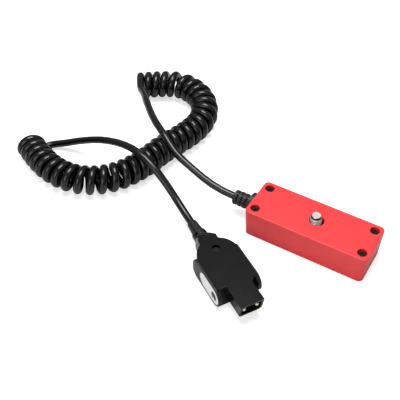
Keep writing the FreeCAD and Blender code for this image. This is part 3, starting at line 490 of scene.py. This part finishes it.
# %% Route
CORD_R, COIL_R, TURNS, PER_TURN = 2.15, 6.5, 35.5, 16
SWELL = 1.14                                   # a wound turn is set a little fatter than the lead
COIL_Z = 8.7
EXIT_RUN, PLUG_RUN = 8.0, 10.0
COIL_LINE = [(-150.5, 59.5), (-135.5, 72.0), (-121.5, 73.5), (-107.5, 67.5), (-98.0, 53.5),
             (-97.5, 37.0), (-104.5, 15.5), (-106.5, 1.0), (-112.0, -16.0), (-122.0, -28.0),
             (-136.5, -34.5), (-157.5, -32.5), (-175.0, -23.0)]
GLAND_MOUTH = (-47.3, 0.0, 10.4)
BOX_LEAD = [(-59.5, 0.0, 10.4), (-78.5, 2.8, 16.0), (-90.0, 4.8, 20.0), (-101.0, 11.0, 24.5),
            (-113.0, 18.5, 25.0), (-128.5, 34.0, 21.5), (-137.5, 44.5, 18.0)]
PLUG_LEAD = [(-161.0, -7.5, 4.5), (-150.0, -5.0, 9.8), (-132.0, -5.2, 18.7),
             (-112.0, -8.0, 25.0), (-96.0, -12.4, 24.3), (-82.0, -15.8, 15.5)]
BOOT_MOUTH = (-58.99, -27.13, 7.0)
PLUG_HEADING = Vector((math.cos(math.radians(-32.3)), math.sin(math.radians(-32.3)), 0))


def nurbs(name, points, resolution):
    """Curve of one open NURBS spline of order 3 that reaches its ends; points in metres."""
    curve = bpy.data.curves.new(name, "CURVE")
    curve.dimensions, curve.resolution_u = "3D", resolution
    spline = curve.splines.new("NURBS")
    spline.points.add(len(points) - 1)
    for control, point in zip(spline.points, points):
        control.co = (*point, 1)
    spline.order_u = 3
    spline.use_endpoint_u = True
    piece = bpy.data.objects.new(name, curve)
    bpy.context.scene.collection.objects.link(piece)
    return piece


def read_line(piece):
    """Points along a curve that has no bevel; the curve is then removed."""
    mesh = bpy.data.meshes.new_from_object(piece)
    points = [vertex.co.copy() for vertex in mesh.vertices]
    bpy.data.objects.remove(piece)
    bpy.data.meshes.remove(mesh)
    return points


middle = read_line(nurbs("coil_middle", [Vector((x, y, COIL_Z)) * MM for x, y in COIL_LINE], 60))
print("coil's middle line:", len(middle), "points")

# %% [markdown]
# ## The turns
# When such a coil is bent, its turns stay close together on the inside of the bend and open
# like a fan on the outside.  So the turns are spaced evenly along the inner side, which is
# shorter than the middle line by the radius times the angle turned.

# %% Turns
def turn_angle(a, b):
    """Size of the turn from one heading to the next."""
    return abs(math.remainder(b - a, 2 * math.pi))


headings = [math.atan2((b - a).y, (b - a).x) for a, b in zip(middle, middle[1:])]
reach = [0.0]
for index, (a, b) in enumerate(zip(middle, middle[1:])):
    bend = turn_angle(headings[index - 1], headings[index]) if index else 0.0
    reach.append(reach[-1] + max((b - a).length - COIL_R * MM * bend, 1e-7))


def on_turn(turn, radius):
    """Point on the cord at a turn, counted from the coil's end beside the box's lead."""
    wanted = min(max(turn / TURNS, 0), 1) * reach[-1]
    index = max(i for i, r in enumerate(reach[:-1]) if r <= wanted)
    share = (wanted - reach[index]) / (reach[index + 1] - reach[index])
    point = middle[index].lerp(middle[index + 1], share)
    before, after = headings[max(index - 1, 0)], headings[min(index + 1, len(headings) - 1)]
    heading = headings[index] + (share - 0.5) * math.remainder(after - before, 2 * math.pi) / 2
    side = Vector((-math.sin(heading), math.cos(heading), 0))
    angle = math.pi / 2 - 2 * math.pi * turn
    return point + (side * math.cos(angle) + Vector((0, 0, 1)) * math.sin(angle)) * radius * MM


step = 2 * math.pi / PER_TURN
slim = COIL_R - (SWELL - 1) * CORD_R
wide = slim / (0.75 + 0.25 * math.cos(step))        # a spline of order 3 runs inside its points
count = round(TURNS * PER_TURN)
turns = [on_turn(i / PER_TURN, wide) for i in range(count + 1)]
LOOK = 0.02                                         # part of a turn, to see which way it heads
top, foot = on_turn(0, COIL_R), on_turn(TURNS, COIL_R)
top_heading = (on_turn(LOOK, COIL_R) - top).normalized()
foot_heading = (foot - on_turn(TURNS - LOOK, COIL_R)).normalized()
for heading in (top_heading, foot_heading):
    heading.z = 0
    heading.normalize()
turns[0], turns[-1] = top, foot
print("points on the coil:", len(turns), "ends", [round(v * 1000, 1) for v in (*top, *foot)])

# %% [markdown]
# ## One spline for the whole cord
# The leads' points are few and far apart, so the spline lies in long easy curves there.  The
# bevel is a circle, and each point has its own radius, because a wound turn is a little fatter
# than the straight cord.  The plug's pieces come from the frame and hang on the cord's far end.

# %% Cord
stub = 2 * CORD_R * MM
box_end, plug_end = top - top_heading * stub, foot + foot_heading * stub
line = [Vector(p) * MM for p in (GLAND_MOUTH, *BOX_LEAD)]
line += [box_end - top_heading * EXIT_RUN * MM, *turns, plug_end + foot_heading * EXIT_RUN * MM]
line += [Vector(p) * MM for p in PLUG_LEAD]
line += [Vector(BOOT_MOUTH) * MM - PLUG_HEADING * PLUG_RUN * MM, Vector(BOOT_MOUTH) * MM]
cord = nurbs("coiled_cord", line, 3)
first = 2 + len(BOX_LEAD)
for index, control in enumerate(cord.data.splines[0].points):
    control.radius = CORD_R * MM * (SWELL if first <= index < first + len(turns) else 1)
cord.data.bevel_depth = 1.0                    # so that each point's radius is in metres
cord.data.bevel_resolution = 4
cord.data.use_fill_caps = True
cord.data.materials.append(jacket.material)
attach(cord, "box")
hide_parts("box_lead", "coil", "plug_lead")
for spline in cord.data.splines:
    spline.use_smooth = True
print("points on the cord:", len(line))

# %% [markdown]
# ## The last step
# The picture is shown with the Standard view transform.

# %% Finish
bpy.context.scene.view_settings.view_transform = "Standard"
